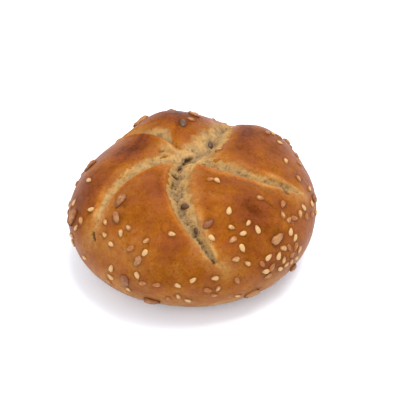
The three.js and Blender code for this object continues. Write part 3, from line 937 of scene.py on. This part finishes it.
def makeSeedTree(name, values):
    tree, start, end = startTree(name + " on the crust", values)
    ball = addNode(tree, "GeometryNodeMeshUVSphere", None,
                   {"Segments": start.outputs["Segments"], "Rings": start.outputs["Rings"], "Radius": 0.5})
    place = addNode(tree, "ShaderNodeSeparateXYZ", None, {0: tree.nodes.new("GeometryNodeInputPosition")})
    # the ball's axis Z becomes the seed's length Y
    girthSlope = addNode(tree, "ShaderNodeMath", {"operation": "MULTIPLY"},
                         {0: place.outputs["Z"], 1: start.outputs["Pointing"]})
    girthDouble = addNode(tree, "ShaderNodeMath", {"operation": "MULTIPLY"}, {0: girthSlope, 1: 2.0})
    girth = addNode(tree, "ShaderNodeMath", {"operation": "SUBTRACT"}, {0: 1.0, 1: girthDouble})
    across = addNode(tree, "ShaderNodeMath", {"operation": "MULTIPLY"}, {0: place.outputs["X"], 1: girth})
    wide = addNode(tree, "ShaderNodeMath", {"operation": "MULTIPLY"}, {0: across, 1: start.outputs["Width"]})
    long = addNode(tree, "ShaderNodeMath", {"operation": "MULTIPLY"},
                   {0: place.outputs["Z"], 1: start.outputs["Length"]})
    upward = addNode(tree, "ShaderNodeMath", {"operation": "MULTIPLY"}, {0: place.outputs["Y"], 1: girth})
    thick = addNode(tree, "ShaderNodeMath", {"operation": "MULTIPLY"},
                    {0: upward, 1: start.outputs["Thickness"]})
    high = addNode(tree, "ShaderNodeMath", {"operation": "ADD"}, {0: thick, 1: start.outputs["Rise"]})
    # ridges along the seed
    angle = addNode(tree, "ShaderNodeMath", {"operation": "MULTIPLY"},
                    {0: place.outputs["X"], 1: 2 * math.pi})
    ridgeAngle = addNode(tree, "ShaderNodeMath", {"operation": "MULTIPLY"},
                         {0: angle, 1: start.outputs["Ridges"]})
    wave = addNode(tree, "ShaderNodeMath", {"operation": "COSINE"}, {0: ridgeAngle})
    ridged = addNode(tree, "ShaderNodeMath", {"operation": "MULTIPLY"},
                     {0: wave, 1: start.outputs["Ridge Height"]})
    ridgedHigh = addNode(tree, "ShaderNodeMath", {"operation": "MULTIPLY_ADD"},
                         {0: ridged, 1: metre, 2: high})
    seedPoint = addNode(tree, "ShaderNodeCombineXYZ", None, {0: wide, 1: long, 2: ridgedHigh})
    # how near each point is to the seed's top and to its tip, from 0 to 1, for the colours
    body = ball.outputs["Mesh"]
    for label, axis in (("tip", "Z"), ("crest", "Y")):
        level = addNode(tree, "ShaderNodeMath", {"operation": "ADD"}, {0: place.outputs[axis], 1: 0.5})
        body = addNode(tree, "GeometryNodeStoreNamedAttribute", {"data_type": "FLOAT", "domain": "POINT"},
                       {"Geometry": body, "Name": label, "Value": level})
    formed = addNode(tree, "GeometryNodeSetPosition", None, {"Geometry": body, "Position": seedPoint})
    # one seed at every place, turned and sized as it was drawn
    up, along = (
        addNode(tree, "GeometryNodeInputNamedAttribute", {"data_type": "FLOAT_VECTOR"}, {"Name": label})
        for label in ("seedUp", "seedAlong")
    )
    turn = addNode(tree, "FunctionNodeAxesToRotation", {"primary_axis": "Z", "secondary_axis": "Y"},
                   {"Primary Axis": up, "Secondary Axis": along})
    smallest = addNode(tree, "ShaderNodeMath", {"operation": "SUBTRACT"},
                       {0: 1.0, 1: start.outputs["Size Variation"]})
    largest = addNode(tree, "ShaderNodeMath", {"operation": "ADD"},
                      {0: 1.0, 1: start.outputs["Size Variation"]})
    chance = addNode(tree, "FunctionNodeRandomValue", {"data_type": "FLOAT"},
                     {2: smallest, 3: largest, "Seed": start.outputs["Seed"]})
    own = addNode(tree, "GeometryNodeInputNamedAttribute", {"data_type": "FLOAT"}, {"Name": "seedSize"})
    size = addNode(tree, "ShaderNodeMath", {"operation": "MULTIPLY"}, {0: chance, 1: own})
    toneSeed = addNode(tree, "ShaderNodeMath", {"operation": "ADD"},
                       {0: start.outputs["Seed"], 1: toneSeedApart})
    tone = addNode(tree, "FunctionNodeRandomValue", {"data_type": "FLOAT"},
                   {2: 0.0, 3: 1.0, "Seed": toneSeed})
    strewn = addNode(tree, "GeometryNodeInstanceOnPoints", None, {
        "Points": start.outputs["Geometry"], "Instance": formed, "Rotation": turn, "Scale": size,
    })
    toned = addNode(tree, "GeometryNodeStoreNamedAttribute", {"data_type": "FLOAT", "domain": "INSTANCE"},
                    {"Geometry": strewn, "Name": "seedTone", "Value": tone})
    shape = addNode(tree, "GeometryNodeRealizeInstances", None, {"Geometry": toned})
    # small lumps, different on every seed
    here = addNode(tree, "ShaderNodeVectorMath", {"operation": "SCALE"},
                   {0: tree.nodes.new("GeometryNodeInputPosition"), 3: millimetres})
    lumpScale = addNode(tree, "ShaderNodeMath", {"operation": "DIVIDE"},
                        {0: 1.0, 1: start.outputs["Lump Size"]})
    lumps = addNode(tree, "ShaderNodeTexNoise", None, {"Vector": here, "Scale": lumpScale, "Detail": 2.0})
    lumpShift = addNode(tree, "ShaderNodeMath", {"operation": "SUBTRACT"}, {0: lumps, 1: 0.5})
    lumpHigh = addNode(tree, "ShaderNodeMath", {"operation": "MULTIPLY"},
                       {0: lumpShift, 1: start.outputs["Lump Height"]})
    lumpMetres = addNode(tree, "ShaderNodeMath", {"operation": "MULTIPLY"}, {0: lumpHigh, 1: metre})
    lumpMove = addNode(tree, "ShaderNodeVectorMath", {"operation": "SCALE"},
                       {0: tree.nodes.new("GeometryNodeInputNormal"), 3: lumpMetres})
    shape = addNode(tree, "GeometryNodeSetPosition", None, {"Geometry": shape, "Offset": lumpMove})
    shape = addNode(tree, "GeometryNodeSetShadeSmooth", None, {"Geometry": shape})
    shape = addNode(tree, "GeometryNodeSetMaterial", None,
                    {"Geometry": shape, "Material": start.outputs["Material"]})
    tree.links.new(shape.outputs[0], end.inputs[0])
    return tree


def makeSeeds(kind, pieceName):
    chosen = [seed for seed in seeds if seed["kind"] == kind]
    origins = np.array([seed["origin"] for seed in chosen]) * metre
    attributes = {
        "seedUp": np.array([seed["up"] for seed in chosen]),
        "seedAlong": np.array([seed["along"] for seed in chosen]),
        "seedSize": np.array([seed["size"] for seed in chosen]),
    }
    source = makeObject(kind + "Places", origins, [], attributes)
    full = seedKinds[kind]
    values = {
        **seedShapes[kind],
        "Length": full["length"] * metre,
        "Width": full["width"] * metre,
        "Thickness": full["thickness"] * metre,
        "Rise": full["rise"] * metre,
        "Material": makeSeedMaterial(seedLooks[kind]),
    }
    return growPiece(pieceName, source, makeSeedTree(kind, values), values)


sesame = makeSeeds("sesame", "sesameSeeds")
sunflower = makeSeeds("sunflower", "sunflowerKernels")
linseed = makeSeeds("linseed", "linseeds")

for piece, slot in ((crust, "crust"), (sesame, "sesame"), (sunflower, "sunflower"), (linseed, "linseed")):
    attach(piece, "root")
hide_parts("bread_roll")


stageSizes = {
    "floorHalf": 3.0,  # metres
    "floorColour": "#f2f7ff",
    "floorRoughness": 0.9,
    "glowColour": "#dbe8ff",
    "glow": 0.09,
}


# Matt white board that glows faintly, so that the ground looks nearly white round a soft shadow.
def makeFloor():
    half = stageSizes["floorHalf"]
    corners = [(-half, -half, 0), (half, -half, 0), (half, half, 0), (-half, half, 0)]
    floor = makeObject("paleTable", corners, [(0, 1, 2, 3)], {})
    material, _, shader = startMaterial("matteWhiteTable")
    shader.inputs["Base Color"].default_value = linearColour(stageSizes["floorColour"])
    shader.inputs["Roughness"].default_value = stageSizes["floorRoughness"]
    shader.inputs["Emission Color"].default_value = linearColour(stageSizes["glowColour"])
    shader.inputs["Emission Strength"].default_value = stageSizes["glow"]
    floor.data.materials.append(material)


lights = {  # places and sizes in metres
    "sky": 1.0,
    "aim": (0, 0, 0.02),
    "key": {"place": (0.2, 0.1, 1.0), "size": 0.6, "watts": 10.5},
    "fill": {"place": (-0.4, -0.8, 0.6), "size": 0.8, "watts": 4.0},
}


def makeLights():
    world = bpy.data.worlds.new("softBox")
    world.use_nodes = True
    background = next(node for node in world.node_tree.nodes if node.type == "BACKGROUND")
    background.inputs["Color"].default_value = (1, 1, 1, 1)
    background.inputs["Strength"].default_value = lights["sky"]
    bpy.context.scene.world = world
    for name in ("key", "fill"):
        look = lights[name]
        data = bpy.data.lights.new(name, "AREA")
        data.size = look["size"]
        data.energy = look["watts"]
        lamp = bpy.data.objects.new(name, data)
        lamp.location = look["place"]
        lamp.rotation_euler = (Vector(lights["aim"]) - lamp.location).to_track_quat("-Z", "Y").to_euler()
        bpy.context.scene.collection.objects.link(lamp)


view = {
    "elevation": 40,
    "distance": 480,
    "aim": (2.0, 1.6, 21.9),
    "lens": 112.2,
    "sensor": 36,
    "nearest": 0.01,  # metres
    "farthest": 20,
}


def makeCamera():
    data = bpy.data.cameras.new("photoView")
    data.lens = view["lens"]
    data.sensor_width = view["sensor"]
    data.clip_start = view["nearest"]
    data.clip_end = view["farthest"]
    camera = bpy.data.objects.new("photoView", data)
    tilt = math.radians(view["elevation"])
    back = Vector((0, -math.cos(tilt), math.sin(tilt)))
    camera.location = (Vector(view["aim"]) + back * view["distance"]) * metre
    camera.rotation_euler = (-back).to_track_quat("-Z", "Y").to_euler()
    bpy.context.scene.collection.objects.link(camera)
    bpy.context.scene.camera = camera


makeFloor()
makeLights()
makeCamera()
bpy.context.scene.view_settings.view_transform = "Standard"
print("stage set")
